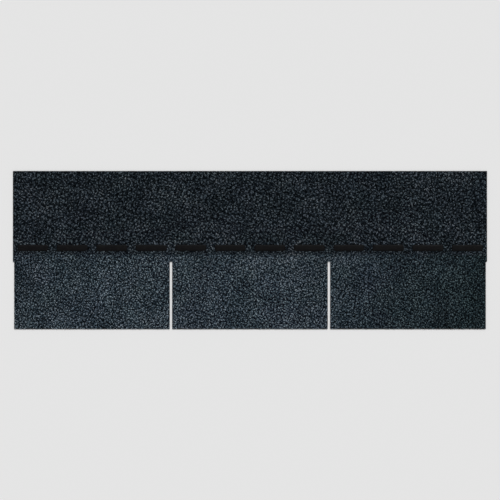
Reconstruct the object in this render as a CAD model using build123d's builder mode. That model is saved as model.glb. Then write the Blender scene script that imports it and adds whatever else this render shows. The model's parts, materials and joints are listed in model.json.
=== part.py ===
from build123d import *
import os

# A three-tab asphalt strip shingle, lying flat with its granules up.
# X runs along the butt edge, Y runs up the slope from the butt edge to the top edge, and Z is up.
# The origin is the middle of the underside. All sizes are in millimetres.

# The strip: glass mat, asphalt coating and granules, die-cut from one web.
tab_count = 3
tab_pitch = 304.8  # one tab and one slot, 12 in
exposure = 127.0  # the part of each course that stays in view, 5 in
head_lap = 50.8  # covered by two further courses, 2 in
sheet_thickness = 2.8  # from the underside to the tops of the granules

# The slots between the tabs. Each end of the strip has half a slot, so two strips side by side share one.
slot_width = 4.8
slot_overrun = 3.0  # past the exposure, so the next course covers the slot's closed end
slot_corner_radius = 1.2
tab_corner_radius = 1.0

# The self-seal strip: a broken line of tacky asphalt that the next course's tabs bond to.
seals_per_tab = 4
seal_width = 12.7
seal_break = 16.0  # bare length between two dashes
seal_height = 0.6
seal_offset = 20.0  # from the slots' closed ends, which leaves the nailing line clear
seal_corner_radius = 3.0
seal_bevel = 0.35

# The release film: pressed flush into the back coating, it keeps strips from bonding in a pack.
# It is centred, so it covers the sealant of the next strip whichever way round that one lies.
film_width = 38.0
film_thickness = 0.05

# Corners are rounded and rims bevelled by at most these shares of a width or a height.
corner_limit = 0.45
rim_limit = 0.8

# Sizes and places that follow from the above.
sheet_length = tab_count * tab_pitch
sheet_height = 2 * exposure + head_lap
butt_y = -sheet_height / 2
slot_length = exposure + slot_overrun
slot_end_y = butt_y + slot_length
slot_round = min(slot_corner_radius, corner_limit * slot_width)
seal_count = tab_count * seals_per_tab
seal_pitch = tab_pitch / seals_per_tab
seal_length = seal_pitch - seal_break
seal_y = slot_end_y + seal_offset + seal_width / 2
seal_round = min(seal_corner_radius, corner_limit * seal_width)
seal_rim = min(seal_bevel, rim_limit * seal_height)

os.makedirs("parts", exist_ok=True)

# The shingle itself, one die-cut sheet with its tabs towards -Y.
with BuildPart() as shingle:
    with BuildSketch() as outline:
        Rectangle(sheet_length, sheet_height)
        with Locations((0, butt_y + slot_length / 2)):
            with GridLocations(tab_pitch, 0, tab_count + 1, 1):
                Rectangle(slot_width, slot_length, mode=Mode.SUBTRACT)
        # The corners in rows: the tabs' at the butt edge, the slots' closed ends, the top edge.
        tab_corners, slot_corners, _ = outline.vertices().group_by(Axis.Y)
        # The strip is cut from the web through a slot, which leaves its outermost corners sharp.
        fillet(slot_corners.sort_by(Axis.X)[1:-1], radius=slot_round)
        fillet(tab_corners, radius=tab_corner_radius)
    extrude(amount=sheet_thickness)
    # The shallow channel in the underside that the release film lies in.
    with BuildSketch():
        Rectangle(sheet_length, film_width)
    extrude(amount=film_thickness, mode=Mode.SUBTRACT)
shingle.part.label = "shingle"

# The dashes of sealant, each a flat bead with rounded corners and a bevelled rim.
with BuildPart() as seal_strip:
    with BuildSketch(Plane.XY.offset(sheet_thickness)):
        with Locations((0, seal_y)):
            with GridLocations(seal_pitch, 0, seal_count, 1):
                RectangleRounded(seal_length, seal_width, seal_round)
    extrude(amount=seal_height)
    bead_tops = seal_strip.faces().group_by(Axis.Z)[-1]
    chamfer(bead_tops.edges(), length=seal_rim)
seal_strip.part.label = "seal_strip"

# The release film, filling its channel flush with the underside.
with BuildPart() as release_film:
    with BuildSketch():
        Rectangle(sheet_length, film_width)
    extrude(amount=film_thickness)
release_film.part.label = "release_film"

export_step(shingle.part, "parts/shingle.step")
export_step(seal_strip.part, "parts/seal_strip.step")
export_step(release_film.part, "parts/release_film.step")
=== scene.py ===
import json
import math
import random

import bmesh
import bpy
import numpy as np
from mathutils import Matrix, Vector, noise

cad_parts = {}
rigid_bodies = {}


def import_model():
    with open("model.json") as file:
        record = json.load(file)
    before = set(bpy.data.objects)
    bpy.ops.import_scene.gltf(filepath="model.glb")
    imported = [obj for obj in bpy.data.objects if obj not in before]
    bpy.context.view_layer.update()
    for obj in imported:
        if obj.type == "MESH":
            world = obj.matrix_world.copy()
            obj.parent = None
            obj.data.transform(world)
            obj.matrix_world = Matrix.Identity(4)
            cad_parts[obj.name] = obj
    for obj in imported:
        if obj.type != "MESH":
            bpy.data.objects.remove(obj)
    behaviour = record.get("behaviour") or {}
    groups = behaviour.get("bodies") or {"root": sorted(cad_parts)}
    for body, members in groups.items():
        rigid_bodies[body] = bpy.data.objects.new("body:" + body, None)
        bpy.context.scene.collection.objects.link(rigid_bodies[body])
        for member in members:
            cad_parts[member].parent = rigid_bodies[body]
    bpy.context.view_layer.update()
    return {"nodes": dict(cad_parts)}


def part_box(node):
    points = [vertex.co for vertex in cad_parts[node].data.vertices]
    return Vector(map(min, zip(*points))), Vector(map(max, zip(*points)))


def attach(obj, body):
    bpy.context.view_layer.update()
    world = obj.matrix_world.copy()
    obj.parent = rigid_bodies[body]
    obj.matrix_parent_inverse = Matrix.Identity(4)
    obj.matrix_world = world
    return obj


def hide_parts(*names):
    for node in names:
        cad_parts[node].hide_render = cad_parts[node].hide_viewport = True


# A three-tab asphalt strip shingle, granules up. Metres, in the frame's own axes: the butt edge of the
# tabs is towards -Y, the top edge towards +Y, and the underside lies at Z = 0.
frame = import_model()

# The sheet is one web of glass mat, soaked and coated both sides with filled asphalt. Its back is dusted
# with fine sand so that it doesn't stick, and it is die-cut from the hot web, which leaves the edge a
# little ragged with the pale mat showing as a line along it.
mm = 0.001
sheet_low, sheet_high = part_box("shingle")
tab_count = 3
tab_pitch = (sheet_high.x - sheet_low.x) / tab_count
slot_width = 4.8 * mm
slot_length = 130 * mm
slot_corner = 1.2 * mm
tab_corner = 1 * mm
slot_end_y = sheet_low.y + slot_length
slot_middles = [sheet_low.x + i * tab_pitch for i in range(tab_count + 1)]
bed_top = 1.95 * mm  # the coating between the granules
headlap_foot = slot_end_y + 14 * mm  # where the tabs' blends of granules give way to the headlap's
outline_step = 2.2 * mm
corner_steps = 4
die_wander = 0.22 * mm
die_wander_length = 7 * mm
fine_share, fine_rate = 0.6, 2.7  # a finer wander on top: its share of the first, and how much shorter
wander_climb = 3  # how much quicker the wander changes up the edge than along it
# Up the cut edge: the height, how far in from the die's line, and the wander that is left there. The mat
# lies back a little between the two coatings.
edge_levels = [
    (0, 0.25 * mm, 0.6), (0.2 * mm, 0.05 * mm, 1), (0.8 * mm, 0.02 * mm, 1), (0.9 * mm, 0.14 * mm, 1),
    (1.05 * mm, 0.14 * mm, 1), (1.15 * mm, 0.02 * mm, 1), (1.75 * mm, 0.08 * mm, 1), (bed_top, 0.3 * mm, 1)]
film_low, film_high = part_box("release_film")
channel_run = 0.05 * mm  # the run of the back's step at each of the film's edges
hair = 1e-6


def strip_corners():
    """The strip's corners anticlockwise from the lower left, each with its rounding."""
    half = slot_width / 2
    corners = []
    for left, right in zip(slot_middles, slot_middles[1:]):
        corners += [(left + half, slot_end_y, slot_corner), (left + half, sheet_low.y, tab_corner),
                    (right - half, sheet_low.y, tab_corner), (right - half, slot_end_y, slot_corner)]
    # The half slots' closed ends run out of the strip sharp.
    corners[0] = (*corners[0][:2], 0)
    corners[-1] = (*corners[-1][:2], 0)
    ends = [(sheet_high.x, slot_end_y, 0), (sheet_high.x, sheet_high.y, 0),
            (sheet_low.x, sheet_high.y, 0), (sheet_low.x, slot_end_y, 0)]
    return corners + ends


def walk(corners, step):
    """Points every step along the corners' outline, with each corner rounded by its radius."""
    points = []
    for i, (x, y, radius) in enumerate(corners):
        here = Vector((x, y))
        before = (Vector(corners[i - 1][:2]) - here).normalized()
        after_corner = corners[(i + 1) % len(corners)]
        after = (Vector(after_corner[:2]) - here).normalized()
        if radius:
            centre = here + (before + after) * radius
            for k in range(corner_steps + 1):
                turn = k / corner_steps * math.pi / 2
                points.append(centre - after * radius * math.cos(turn) - before * radius * math.sin(turn))
        else:
            points.append(here)
        start = points[-1]
        stop = Vector(after_corner[:2]) - after * after_corner[2]
        count = int((stop - start).length / step)
        points += [start.lerp(stop, k / (count + 1)) for k in range(1, count + 1)]
    return points


def cut_strip():
    """The die-cut sheet as one closed mesh: walls up the cut edge, the bed on top and the back below."""
    points = walk(strip_corners(), outline_step)
    outward = []
    for i, here in enumerate(points):
        along = (points[(i + 1) % len(points)] - points[i - 1]).normalized()
        outward.append(Vector((along.y, -along.x)))
    shape = bmesh.new()
    rings = []
    for z, inset, share in edge_levels:
        ring = []
        for here, out in zip(points, outward):
            spot = Vector((here.x, here.y, z * wander_climb)) / die_wander_length
            wander = (noise.noise(spot) + fine_share * noise.noise(spot * fine_rate)) * die_wander * share
            place = here + out * min(0, wander - inset)
            ring.append(shape.verts.new((place.x, place.y, z)))
        rings.append(ring)
    for lower, upper in zip(rings, rings[1:]):
        for i in range(len(points)):
            j = (i + 1) % len(points)
            shape.faces.new((lower[i], lower[j], upper[j], upper[i]))
    shape.faces.new(rings[-1])
    shape.faces.new(list(reversed(rings[0])))
    # The film's channel, a step in the back at each of the film's edges.
    for y in (film_low.y - channel_run, film_low.y, film_high.y, film_high.y + channel_run):
        everything = shape.verts[:] + shape.edges[:] + shape.faces[:]
        bmesh.ops.bisect_plane(
            shape, geom=everything, plane_co=(0, y, 0), plane_no=(0, 1, 0), dist=hair / 10)
    for corner in shape.verts:
        if corner.co.z < 10 * hair and film_low.y - hair < corner.co.y < film_high.y + hair:
            corner.co.z = film_high.z
    bmesh.ops.triangulate(shape, faces=[face for face in shape.faces if len(face.verts) > 4])
    bmesh.ops.recalc_face_normals(shape, faces=shape.faces)
    mesh = bpy.data.meshes.new("coated_sheet")
    shape.to_mesh(mesh)
    shape.free()
    return mesh


def keep(mesh, name):
    """A finished mesh as an object of the scene."""
    piece = bpy.data.objects.new(name, mesh)
    bpy.context.scene.collection.objects.link(piece)
    return piece


class Wire:
    """A value on its way through a node tree. An operator adds the Math node that works it out."""

    def __init__(self, nodes, socket):
        self.nodes, self.socket = nodes, socket

    def maths(self, operation, *values):
        settings = {"operation": operation}
        return self.nodes.add("ShaderNodeMath", settings, dict(enumerate(values)))

    def __add__(self, other):
        return self.maths("ADD", self, other)

    def __sub__(self, other):
        return self.maths("SUBTRACT", self, other)

    def __rsub__(self, other):
        return self.maths("SUBTRACT", other, self)

    def __mul__(self, other):
        return self.maths("MULTIPLY", self, other)

    def __truediv__(self, other):
        return self.maths("DIVIDE", self, other)

    __radd__, __rmul__ = __add__, __mul__

    def floor(self):
        return self.maths("FLOOR", self)

    def modulo(self, divisor):
        return self.maths("FLOORED_MODULO", self, divisor)

    def beside(self, name):
        """Another output of the same node."""
        return Wire(self.nodes, self.nodes.find(self.socket.node.outputs, name))

    def between(self, low, high):
        """0 below low, 1 above high, and an even rise from one to the other."""
        values = {"Value": self, "From Min": low, "From Max": high}
        return self.nodes.add("ShaderNodeMapRange", {"clamp": True}, values)


class Nodes:
    """Adds nodes to one tree, of a material or of Geometry Nodes."""

    def __init__(self, tree):
        self.tree = tree

    def add(self, kind, settings=None, values=None, out=0):
        """A node of that kind: first its settings, then its sockets' values or wires, by name or place."""
        node = self.tree.nodes.new(kind)
        for name, value in (settings or {}).items():
            if name == "stops":
                self.set_stops(node.color_ramp, value)
            else:
                setattr(node, name, value)
        for name, value in (values or {}).items():
            socket = self.find(node.inputs, name)
            if isinstance(value, Wire):
                self.tree.links.new(value.socket, socket)
            else:
                socket.default_value = value
        return Wire(self, self.find(node.outputs, out))

    def find(self, sockets, name):
        """The socket of that name that is in use, or the one at that place."""
        if isinstance(name, int):
            return sockets[name]
        return next(s for s in sockets if s.name == name and s.enabled)

    def set_stops(self, ramp, stops):
        while len(ramp.elements) < len(stops):
            ramp.elements.new(1)
        for element, (place, colour) in zip(ramp.elements, stops):
            element.position, element.color = place, (*colour, 1)

    def mix(self, factor, first, second, blend="MIX"):
        """Two colours blended, the second by the factor."""
        settings = {"data_type": "RGBA", "blend_type": blend}
        return self.add("ShaderNodeMix", settings, {0: factor, 6: first, 7: second}, 2)

    def noise(self, place, scale, detail=2.0, roughness=0.5):
        """Cloudy noise, with that many clouds to the metre."""
        values = {"Vector": place, "Scale": scale, "Detail": detail, "Roughness": roughness}
        return self.add("ShaderNodeTexNoise", {}, values)

    def cells(self, place, scale, settings=None, out="Distance"):
        """Random cells, that many to the metre: how far off the nearest is, its place or its colour."""
        return self.add("ShaderNodeTexVoronoi", settings, {"Vector": place, "Scale": scale}, out)

    def ramp(self, place, stops):
        return self.add("ShaderNodeValToRGB", {"stops": stops}, {0: place})

    def part(self, vector, axis):
        return self.add("ShaderNodeSeparateXYZ", values={0: vector}, out=axis)

    def vector(self, x, y, z):
        return self.add("ShaderNodeCombineXYZ", values={0: x, 1: y, 2: z})

    def stretched(self, place, scale):
        return self.add("ShaderNodeMapping", {}, {"Vector": place, "Scale": scale})

    def bump(self, height, strength, distance):
        values = {"Strength": strength, "Distance": distance, "Height": height}
        return self.add("ShaderNodeBump", {}, values, "Normal")


def screen_colour(red, green, blue):
    """A colour written as it shows on a screen, 0 to 255, as the linear value that a shader takes."""
    shares = (red / 255, green / 255, blue / 255)
    return tuple(c / 12.92 if c <= 0.04045 else ((c + 0.055) / 1.055) ** 2.4 for c in shares)


def opaque(colour):
    return (*colour, 1)


def new_finish(name, metallic=0.0, specular=0.5):
    """A material with its shader, and the Nodes that add to it."""
    material = bpy.data.materials.new(name)
    material.use_nodes = True
    shader = material.node_tree.nodes["Principled BSDF"]
    shader.inputs["Metallic"].default_value = metallic
    shader.inputs["Specular IOR Level"].default_value = specular
    return material, shader, Nodes(material.node_tree)


def finish_with(nodes, shader, pins):
    """Wires the finished colour, roughness or normal into the shader."""
    for name, wire in pins.items():
        nodes.tree.links.new(wire.socket, shader.inputs[name])


def granule_tone(nodes, seat, chance):
    """The fired colour of the granule seated there, drawn from its tab's blend by a chance from 0 to 1."""
    along = nodes.part(seat, "X")
    up = along.beside("Y")
    drift = nodes.noise(seat, 17.0, 1.0)
    # The left and middle tabs are the paler. The right tab darkens to its right end, and first at its foot.
    place = along.between(sheet_low.x, sheet_high.x) + (slot_end_y - up) * 0.5 + (drift - 0.5) * 0.12
    shade = nodes.ramp(place, [
        (0.0, (0.58,) * 3), (0.14, (0.7,) * 3), (0.36, (0.74,) * 3), (0.56, (0.745,) * 3),
        (0.66, (0.68,) * 3), (0.74, (0.56, 0.58, 0.59)), (0.84, (0.42, 0.458, 0.447)),
        (1.0, (0.28, 0.34, 0.317))])
    strayed = up + (drift - 0.5) * 9 * mm + (chance - 0.5) * 7 * mm
    headlap = strayed.between(headlap_foot, headlap_foot + 2 * mm)
    draw = chance + (drift - 0.5) * 0.26 - headlap * 0.14
    tone = nodes.ramp(draw, [
        (0.0, screen_colour(0, 2, 4)), (0.3, screen_colour(5, 12, 19)), (0.58, screen_colour(35, 47, 57)),
        (0.82, screen_colour(90, 106, 118)), (1.0, screen_colour(160, 173, 183))])
    # Patches about 5 cm wide lean to green or to blue.
    lean = nodes.add("ShaderNodeVectorMath", {"operation": "MULTIPLY_ADD"}, {
        0: nodes.noise(seat, 21.0).beside("Color"), 1: (0.14,) * 3, 2: (0.973, 0.994, 1.005)})
    shade = nodes.mix(headlap, shade, opaque((0.86, 0.76, 0.71)))
    return nodes.mix(1.0, nodes.mix(1.0, tone, shade, "MULTIPLY"), lean, "MULTIPLY")


def asphalt_sheet():
    """Black filled asphalt, with fines in its face, sand on its back and the mat along its cut edge."""
    material, shader, nodes = new_finish("coated_asphalt", specular=0.03)
    place = nodes.add("ShaderNodeTexCoord", out="Object")
    height = nodes.part(place, "Z")
    facing = nodes.part(nodes.add("ShaderNodeNewGeometry", out="Normal"), "Z")
    fine = nodes.noise(place, 900.0, 3.0, 0.6)
    broad = nodes.noise(place, 30.0, 3.0)
    asphalt = nodes.mix(fine, opaque(screen_colour(5, 6, 7)), opaque(screen_colour(18, 19, 21)))
    # The fines are the small chips that fill in between the granules.
    chip = nodes.cells(place, 1250.0, {"voronoi_dimensions": "2D"}, "Position")
    chip_chance = nodes.add("ShaderNodeSeparateColor", values={0: chip.beside("Color")}, out=0)
    fines_tone = granule_tone(nodes, chip, chip_chance)
    pebble = 1 - chip.beside("Distance") * 1.6
    over = facing.between(0.5, 0.9)
    fines = nodes.mix(over * pebble.between(0.1, 0.35) * 0.8, asphalt, fines_tone)
    # The mat is a pale line of chopped glass fibre between the two coatings.
    mat = height.between(0.86 * mm, 0.9 * mm) * (1 - height.between(1.04 * mm, 1.08 * mm))
    frayed = mat * nodes.noise(place, 170.0, 6.0, 0.8).between(0.42, 0.6) * 0.7
    edge = nodes.mix(frayed, fines, opaque(screen_colour(128, 122, 108)))
    # The back is pressed full of fine sand and dust.
    sand_grain = nodes.cells(place, 1900.0, out="Color")
    sand_tone = nodes.add("ShaderNodeSeparateColor", values={0: sand_grain}, out=0)
    sand = nodes.ramp(sand_tone, [
        (0.0, screen_colour(24, 25, 26)), (0.45, screen_colour(52, 53, 53)),
        (0.8, screen_colour(88, 88, 85)), (1.0, screen_colour(136, 134, 127))])
    worn = nodes.mix(broad.between(0.3, 0.8) * 0.4, sand, opaque(screen_colour(34, 35, 36)))
    under = (0 - facing).between(0.5, 0.9)
    colour = nodes.mix(under, edge, worn)
    relief = fine * 0.4 + sand_tone * under * 0.6 + over * pebble * 2
    roughness = 0.62 + fine * 0.2 + under * 0.12
    grain = nodes.bump(relief, strength=0.6, distance=0.12 * mm)
    finish_with(nodes, shader, {"Base Color": colour, "Roughness": roughness, "Normal": grain})
    return material


sheet = keep(cut_strip(), "coated_sheet")
sheet.data.materials.append(asphalt_sheet())
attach(sheet, "root")
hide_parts("shingle")

# The granules are crushed rock, coloured with a fired ceramic coat, dropped on the hot coating and rolled
# in. Each tab has its own blend of near-black, slate and pale granules, and the headlap, which the next
# courses hide, gets a plain dark one of a coarser grade. They lie in rows up the strip, each row a piece.
tab_grade, headlap_grade = 1.08 * mm, 1.32 * mm  # the least distance from one granule's middle to the next
row_grades = [tab_grade] * 3 + [headlap_grade] * 3
granule_seat = 2.16 * mm  # the height of a granule's middle, half sunk in the coating
granule_deep = 0.44  # from its middle to its top, as a share of its middle's distance to its side
smallest, largest = 0.62, 1.16  # a granule's size, as a share of its grade
granule_tilt = 0.22  # radians
granule_kinds = 14
corner_stray = 0.22  # of a chip's corner round it, as a share of the way to the next corner
densest = 4.5e6  # tries to the square metre, more than the grades leave room for
blend_cell = 1.9  # the side of a cell of the blend, as a share of the grade
blend_turn = 0.5  # radians from the strip's length, so that the cells don't show as lines along it
first_seed, seeds_a_row = 100, 10
edge_clearance = 0.2 * mm
cut_inset = 0.12 * mm  # from the die's line in to where a cut granule ends
shape_draw = random.Random(11)


def crush_granule(index):
    """A chip of crushed rock with eight flat sides, a wide girdle, and a top of one to three corners."""
    peak = 1 + index % 3
    girdle = 6 - peak
    turn = shape_draw.uniform(0, math.tau)
    peak_reach = {1: (0.05, 0.3), 2: (0.3, 0.55), 3: (0.5, 0.78)}[peak]
    chip = bmesh.new()
    for count, reach, rise in ((peak, peak_reach, (0.7, 1.0)), (girdle, (0.82, 1.12), (-0.9, -0.2))):
        for i in range(count):
            stray = shape_draw.uniform(-corner_stray, corner_stray)
            angle = turn + (i + stray) / count * math.tau
            away = shape_draw.uniform(*reach)
            height = shape_draw.uniform(*rise) * granule_deep
            chip.verts.new((away * math.cos(angle), away * math.sin(angle), height))
        turn += math.pi / 3  # the girdle is turned against the top
    bmesh.ops.convex_hull(chip, input=chip.verts)
    bmesh.ops.triangulate(chip, faces=chip.faces)
    bmesh.ops.recalc_face_normals(chip, faces=chip.faces)
    mesh = bpy.data.meshes.new(f"chip_{index}")
    chip.to_mesh(mesh)
    chip.free()
    return mesh


def new_tree(name, sizes):
    """A tree of Geometry Nodes that takes a mesh and those sizes, its Nodes, and its inputs by name."""
    group = bpy.data.node_groups.new(name, "GeometryNodeTree")
    face = group.interface
    face.new_socket("Geometry", in_out="INPUT", socket_type="NodeSocketGeometry")
    for size, value in sizes.items():
        kind = "NodeSocketInt" if isinstance(value, int) else "NodeSocketFloat"
        face.new_socket(size, in_out="INPUT", socket_type=kind).default_value = value
    face.new_socket("Geometry", in_out="OUTPUT", socket_type="NodeSocketGeometry")
    nodes = Nodes(group)
    given = group.nodes.new("NodeGroupInput")
    return group, nodes, {socket.name: Wire(nodes, socket) for socket in given.outputs if socket.name}


def close_tree(group, geometry):
    """Leads the finished geometry out of the tree."""
    group.links.new(geometry.socket, group.nodes.new("NodeGroupOutput").inputs[0])
    return group


def marked(nodes, geometry, name, kind, value):
    """The geometry with a value kept at each of its points."""
    settings = {"data_type": kind, "domain": "POINT"}
    values = {"Geometry": geometry, "Name": name, "Value": value}
    return nodes.add("GeometryNodeStoreNamedAttribute", settings, values)


def grown_mesh(ground):
    """What the ground's tree makes of it, as a plain mesh. The ground itself goes."""
    mesh = bpy.data.meshes.new_from_object(ground.evaluated_get(bpy.context.evaluated_depsgraph_get()))
    bpy.data.objects.remove(ground)
    return mesh


def even_blend(nodes, place, cell, luck):
    """A chance from 0 to 1, dealt evenly: each of a block's four cells draws from a quarter of its own."""
    turned = nodes.add("ShaderNodeVectorRotate", {"rotation_type": "Z_AXIS"}, {
        "Vector": place, "Angle": blend_turn})
    column, line = nodes.part(turned, "X") / cell, nodes.part(turned, "Y") / cell
    odd_column, odd_line = column.floor().modulo(2.0), line.floor().modulo(2.0)
    # The quarters follow each other round the block, from a start that chance gives it.
    ring = odd_column + odd_line * 3 - odd_column * odd_line * 2
    block = nodes.vector((column / 2).floor(), (line / 2).floor(), 0.0)
    start = nodes.add("ShaderNodeTexWhiteNoise", {"noise_dimensions": "3D"}, {"Vector": block})
    return ((ring + (start * 4).floor()).modulo(4.0) + luck) / 4


def scatter_tree(chips, material):
    """Granules at random on a face, spaced by at least the grade, each turned and sized by chance."""
    group, nodes, pin = new_tree("granule_scatter", {
        "Grade": tab_grade, "Seed": 1, "Smallest": smallest, "Largest": largest, "Tilt": granule_tilt,
        "Mix": blend_cell * tab_grade})

    def drawn(kind, low, high, seed_step):
        """A value drawn by chance for each granule."""
        values = {"Min": low, "Max": high, "Seed": pin["Seed"] + seed_step}
        return nodes.add("FunctionNodeRandomValue", {"data_type": kind}, values, "Value")

    spots = nodes.add("GeometryNodeDistributePointsOnFaces", {"distribute_method": "POISSON"}, {
        "Mesh": pin["Geometry"], "Distance Min": pin["Grade"], "Density Max": densest, "Seed": pin["Seed"]})
    place = nodes.add("GeometryNodeInputPosition")
    seated = marked(nodes, spots, "seat", "FLOAT_VECTOR", place)
    numbered = marked(nodes, seated, "granule", "INT", nodes.add("GeometryNodeInputIndex"))
    chance = even_blend(nodes, place, pin["Mix"], drawn("FLOAT", 0.0, 1.0, 4))
    blended = marked(nodes, numbered, "chance", "FLOAT", chance)
    heap = nodes.add("GeometryNodeCollectionInfo", {}, {"Collection": chips, "Separate Children": True})
    tip = pin["Tilt"]
    turn = drawn("FLOAT_VECTOR", nodes.vector(0 - tip, 0 - tip, 0.0), nodes.vector(tip, tip, math.tau), 1)
    size = drawn("FLOAT", pin["Smallest"], pin["Largest"], 2)
    kind = drawn("INT", 0, granule_kinds - 1, 3)
    laid = nodes.add("GeometryNodeInstanceOnPoints", {}, {
        "Points": blended, "Instance": heap, "Pick Instance": True, "Instance Index": kind,
        "Rotation": turn, "Scale": size * pin["Grade"]})
    real = nodes.add("GeometryNodeRealizeInstances", {}, {"Geometry": laid})
    coloured = nodes.add("GeometryNodeSetMaterial", {}, {"Geometry": real, "Material": material})
    return close_tree(group, coloured)


def row_face(low_y, high_y):
    """The part of the bed that a row of granules covers, a little in from the cut edges and the slots."""
    spans = []
    if low_y < slot_end_y:
        top = min(high_y, slot_end_y)
        for left, right in zip(slot_middles, slot_middles[1:]):
            inset = slot_width / 2 + edge_clearance
            spans.append((left + inset, right - inset, low_y, top))
    if high_y > slot_end_y:
        foot = max(low_y, slot_end_y + edge_clearance)
        spans.append((sheet_low.x + edge_clearance, sheet_high.x - edge_clearance, foot, high_y))
    corners, faces = [], []
    for left, right, foot, top in spans:
        foot, top = max(foot, sheet_low.y + edge_clearance), min(top, sheet_high.y - edge_clearance)
        faces.append([len(corners) + k for k in range(4)])
        corners += [(left, foot, granule_seat), (right, foot, granule_seat),
                    (right, top, granule_seat), (left, top, granule_seat)]
    mesh = bpy.data.meshes.new("row_face")
    mesh.from_pydata(corners, [], faces)
    return mesh


def trim_to_cut(mesh):
    """Ends each granule that the die went through flat at its cut."""
    place, seat = (np.zeros(len(mesh.vertices) * 3, np.float32) for _ in range(2))
    mesh.vertices.foreach_get("co", place)
    mesh.attributes["seat"].data.foreach_get("vector", seat)
    place, seat = place.reshape(-1, 3), seat.reshape(-1, 3)
    for axis in (0, 1):
        place[:, axis] = place[:, axis].clip(sheet_low[axis] + cut_inset, sheet_high[axis] - cut_inset)
    on_tab = seat[:, 1] < slot_end_y
    reach = slot_width / 2 + cut_inset
    for middle in slot_middles:
        over_slot = np.abs(place[:, 0] - middle) < reach
        beside = over_slot & on_tab
        place[beside, 0] = middle + np.sign(seat[beside, 0] - middle) * reach
        above = over_slot & ~on_tab & (place[:, 1] < slot_end_y + cut_inset)
        place[above, 1] = slot_end_y + cut_inset
    mesh.vertices.foreach_set("co", place.ravel())


def give_each_a_cell(mesh):
    """A UV map with a square cell for each granule, so that a baked picture keeps each one's colour."""
    corner_of = np.zeros(len(mesh.loops), np.int32)
    mesh.loops.foreach_get("vertex_index", corner_of)
    granule = np.zeros(len(mesh.vertices), np.int32)
    mesh.attributes["granule"].data.foreach_get("value", granule)
    order = np.unique(granule, return_inverse=True)[1]
    cell = order[corner_of]
    across = math.ceil(math.sqrt(cell.max() + 1))
    near, far = 0.16, 0.84  # clear of the cell's borders
    spot = np.tile([[near, near], [far, near], [near, far]], (len(mesh.loops) // 3, 1))
    uv = (np.stack([cell % across, cell // across], 1) + spot) / across
    layer = mesh.uv_layers.new(name="OFBake")
    layer.data.foreach_set("uv", uv.astype(np.float32).ravel())


def granule_finish():
    """Fired ceramic colour on crushed rock. Every value is the same all over a granule."""
    material, shader, nodes = new_finish("ceramic_granules", specular=0.03)
    seat = nodes.add("ShaderNodeAttribute", {"attribute_name": "seat"}, out="Vector")
    chance = nodes.add("ShaderNodeAttribute", {"attribute_name": "chance"}, out="Fac")
    tone = granule_tone(nodes, seat, chance)
    finish_with(nodes, shader, {"Base Color": tone, "Roughness": 0.8 - chance * 0.2})
    return material


chips = bpy.data.collections.new("granule_chips")
for index in range(granule_kinds):
    chips.objects.link(bpy.data.objects.new(f"chip_{index}", crush_granule(index)))
scatter = scatter_tree(chips, granule_finish())
inputs = {item.name: item.identifier for item in scatter.interface.items_tree if item.in_out == "INPUT"}
row_height = (sheet_high.y - sheet_low.y) / len(row_grades)
for row, grade in enumerate(row_grades):
    foot = sheet_low.y + row * row_height
    ground = keep(row_face(foot, foot + row_height), "row_ground")
    spread = ground.modifiers.new("scatter", "NODES")
    spread.node_group = scatter
    spread[inputs["Seed"]] = first_seed + seeds_a_row * row
    spread[inputs["Grade"]] = grade
    spread[inputs["Mix"]] = blend_cell * grade
    grown = grown_mesh(ground)
    trim_to_cut(grown)
    give_each_a_cell(grown)
    granules = keep(grown, f"granules_row_{row + 1}")
    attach(granules, "root")
for chip in list(chips.objects):
    bpy.data.objects.remove(chip)

# The self-seal strip is a broken line of soft asphalt, printed hot on the granules above the slots. The
# sun melts it, and the tabs of the next course stick to it. It sinks between the granules as it is laid,
# so a dash has a wandering edge, a swollen middle and a few drag marks.
seal_low, seal_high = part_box("seal_strip")
seals = 12
seal_pitch = tab_count * tab_pitch / seals
seal_length = seal_high.x - seal_low.x - (seals - 1) * seal_pitch
seal_width = seal_high.y - seal_low.y
seal_foot = 2.2 * mm
seal_swell = seal_high.z - seal_foot
seal_rim = 4.2 * mm  # the run from a dash's edge to its full height
seal_corner = 3.2 * mm  # how far a dash's corners are pulled in
seal_wander = 0.6 * mm
seal_ripple = 0.1 * mm
seal_columns, seal_lines = 48, 12


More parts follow.
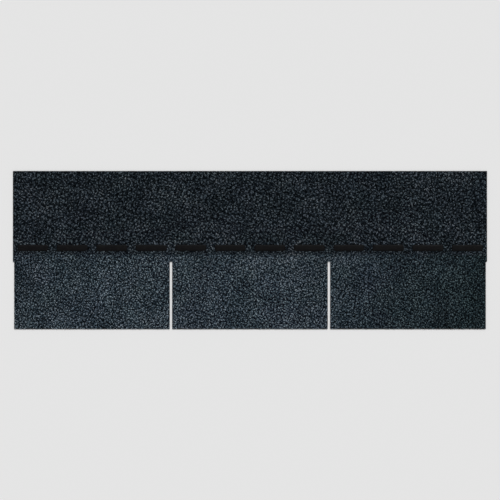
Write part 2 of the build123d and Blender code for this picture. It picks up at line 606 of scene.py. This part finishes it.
def bead_tree(material):
    """The dashes: one block for each, pulled into a swollen bead whose edge and top wander."""
    group, nodes, pin = new_tree("seal_dashes", {
        "Length": seal_length, "Width": seal_width, "Swell": seal_swell, "Rim": seal_rim,
        "Corner": seal_corner, "Wander": seal_wander, "Ripple": seal_ripple})
    block = nodes.add("GeometryNodeMeshCube", {}, {
        "Size": nodes.vector(pin["Length"], pin["Width"], 1.0),
        "Vertices X": seal_columns, "Vertices Y": seal_lines, "Vertices Z": 2})
    placed = marked(nodes, block, "local", "FLOAT_VECTOR", nodes.add("GeometryNodeInputPosition"))
    laid = nodes.add("GeometryNodeInstanceOnPoints", {}, {"Points": pin["Geometry"], "Instance": placed})
    real = nodes.add("GeometryNodeRealizeInstances", {}, {"Geometry": laid})
    local = nodes.add("GeometryNodeInputNamedAttribute", {"data_type": "FLOAT_VECTOR"}, {"Name": "local"})
    x, y, z = (nodes.part(local, axis) for axis in "XYZ")
    place = nodes.add("GeometryNodeInputPosition")
    across, along = y / (pin["Width"] / 2), x / (pin["Length"] / 2)
    # The corners are pulled in, and every edge wanders a little of its own.
    corner = across.maths("POWER", across * across, 4.0) * pin["Corner"]
    slow = nodes.noise(place, 120.0, 2.0)
    quick = nodes.noise(place, 420.0, 2.0)
    stray = ((slow - 0.5) * 1.4 + (quick - 0.5) * 1.1) * pin["Wander"] * 2
    edge_x = along * (0 - corner) + along * stray * 1.5
    edge_y = across * stray
    # The height: a round rise at the rim, a crown along the middle, and ripples.
    in_x = (pin["Length"] / 2 - x.maths("ABSOLUTE", x)) / pin["Rim"]
    in_y = (pin["Width"] / 2 - y.maths("ABSOLUTE", y)) / pin["Rim"]
    near = in_x.maths("MINIMUM", in_x.maths("MINIMUM", in_x, in_y), 1.0)
    rise = near.maths("SQRT", near * (2 - near))
    ripple = (nodes.noise(place, 230.0, 3.0) - 0.5) * pin["Ripple"] * 2
    crown = 0.9 + 0.06 * (1 - across * across)
    top = z.maths("GREATER_THAN", z, 0.0) * (rise * crown * pin["Swell"] + rise * (ripple - pin["Ripple"]))
    offset = nodes.vector(edge_x, edge_y, top - z)
    moved = nodes.add("GeometryNodeSetPosition", {}, {"Geometry": real, "Offset": offset})
    smooth = nodes.add("GeometryNodeSetShadeSmooth", {}, {"Geometry": moved})
    coloured = nodes.add("GeometryNodeSetMaterial", {}, {"Geometry": smooth, "Material": material})
    return close_tree(group, coloured)


def soft_asphalt():
    """Tacky sealing asphalt: black, half glossy, drawn out along the strip, and lumpy over the granules."""
    material, shader, nodes = new_finish("sealing_asphalt", specular=0.06)
    place = nodes.add("ShaderNodeTexCoord", out="Object")
    drag = nodes.noise(nodes.stretched(place, (60.0, 520.0, 60.0)), 1.0, 3.0)
    dust = nodes.noise(place, 150.0, 4.0, 0.65).between(0.5, 0.8)
    lump = nodes.cells(place, 560.0, {"feature": "SMOOTH_F1"})
    pit = 1 - nodes.cells(place, 380.0).between(0.05, 0.16)
    colour = nodes.mix(dust * 0.5, opaque(screen_colour(5, 5, 6)), opaque(screen_colour(26, 26, 26)))
    height = drag * 0.6 - lump * 1.1 - pit * 0.5
    roughness = 0.46 + dust * 0.3 + drag * 0.12
    lumps = nodes.bump(height, strength=1.0, distance=0.3 * mm)
    finish_with(nodes, shader, {"Base Color": colour, "Roughness": roughness, "Normal": lumps})
    return material


seal_y = (seal_low.y + seal_high.y) / 2
dash_middles = bpy.data.meshes.new("dash_middles")
middles = [(sheet_low.x + (i + 0.5) * seal_pitch, seal_y, seal_foot) for i in range(seals)]
dash_middles.from_pydata(middles, [], [])
dash_line = keep(dash_middles, "dash_line")
dash_line.modifiers.new("dashes", "NODES").node_group = bead_tree(soft_asphalt())
seal_dashes = keep(grown_mesh(dash_line), "seal_dashes")
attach(seal_dashes, "root")
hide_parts("seal_strip")

# The release film is a thin clear plastic tape, rolled into the back coating, that keeps the sealant of the
# next strip in the pack from sticking. It wrinkles a little along its length and traps pale air.


def thin_film():
    """Clear tape on black asphalt: dark and glossy where bonded, greyer in creases and trapped air."""
    material, shader, nodes = new_finish("clear_tape")
    place = nodes.add("ShaderNodeTexCoord", out="Object")
    crease = nodes.noise(nodes.stretched(place, (14.0, 330.0, 1.0)), 1.0, 4.0, 0.6)
    cloud = nodes.noise(nodes.stretched(place, (18.0, 70.0, 1.0)), 1.0, 4.0, 0.65)
    sand = nodes.noise(place, 1500.0, 2.0)
    milky = crease.between(0.57, 0.72) * 0.6 + cloud.between(0.45, 0.75) * 0.25
    colour = nodes.mix(milky, opaque(screen_colour(38, 40, 42)), opaque(screen_colour(118, 121, 124)))
    creases = nodes.bump(crease + sand * 0.15, strength=0.7, distance=0.2 * mm)
    finish_with(nodes, shader, {"Base Color": colour, "Roughness": 0.16 + milky * 0.3, "Normal": creases})
    return material


film = frame["nodes"]["release_film"]
film_finish = thin_film()
for held in film.material_slots:
    held.material = film_finish

# The floor is a wide flat sheet of pale paper, lit by an even pale room and one broad lamp from up the
# slope, and the camera looks straight down on the strip.
floor_half = 40.0
floor_z = -0.05 * mm
paper_white = 0.78
floor_corners = [(x * floor_half, y * floor_half, floor_z) for x, y in ((-1, -1), (1, -1), (1, 1), (-1, 1))]
floor_mesh = bpy.data.meshes.new("studio_floor")
floor_mesh.from_pydata(floor_corners, [], [(0, 1, 2, 3)])
studio_floor = keep(floor_mesh, "studio_floor")
paper, paper_shader, _ = new_finish("pale_paper", specular=0.0)
paper_shader.inputs["Base Color"].default_value = opaque((paper_white,) * 3)
paper_shader.inputs["Roughness"].default_value = 0.9
floor_mesh.materials.append(paper)

room_share = 0.4  # the room's share of the light on the floor; the lamp gives the rest
lamp_height = math.radians(50)
lamp_bearing = math.radians(160)
lamp_spread = math.radians(25)
room = bpy.data.worlds.new("pale_room")
room.use_nodes = True
room_nodes = Nodes(room.node_tree)
# The camera, gloss and glass see the room as pale as the floor, whatever it gives as light.
by_eye = room_nodes.add("ShaderNodeLightPath", out="Is Camera Ray")
by_gloss, by_glass = by_eye.beside("Is Glossy Ray"), by_eye.beside("Is Transmission Ray")
shown = by_eye.maths("MAXIMUM", by_eye.maths("MAXIMUM", by_eye, by_gloss), by_glass)
background = room.node_tree.nodes["Background"]
background.inputs["Color"].default_value = (1, 1, 1, 1)
strength = room_share + shown * (paper_white - room_share)
room.node_tree.links.new(strength.socket, background.inputs["Strength"])
bpy.context.scene.world = room
lamp_data = bpy.data.lights.new("broad_lamp", "SUN")
lamp_data.energy = (1 - room_share) * math.pi / math.sin(lamp_height)
lamp_data.angle = lamp_spread
lamp = bpy.data.objects.new("broad_lamp", lamp_data)
bpy.context.scene.collection.objects.link(lamp)
lamp.rotation_euler = (math.radians(90) - lamp_height, 0, lamp_bearing)

camera_data = bpy.data.cameras.new("camera")
camera_data.lens = 85
camera = bpy.data.objects.new("camera", camera_data)
bpy.context.scene.collection.objects.link(camera)
shown_width = 0.965  # metres of the floor from side to side of the picture
camera.location = (0, 0, shown_width * camera_data.lens / camera_data.sensor_width)
bpy.context.scene.camera = camera
bpy.context.scene.view_settings.view_transform = "Standard"
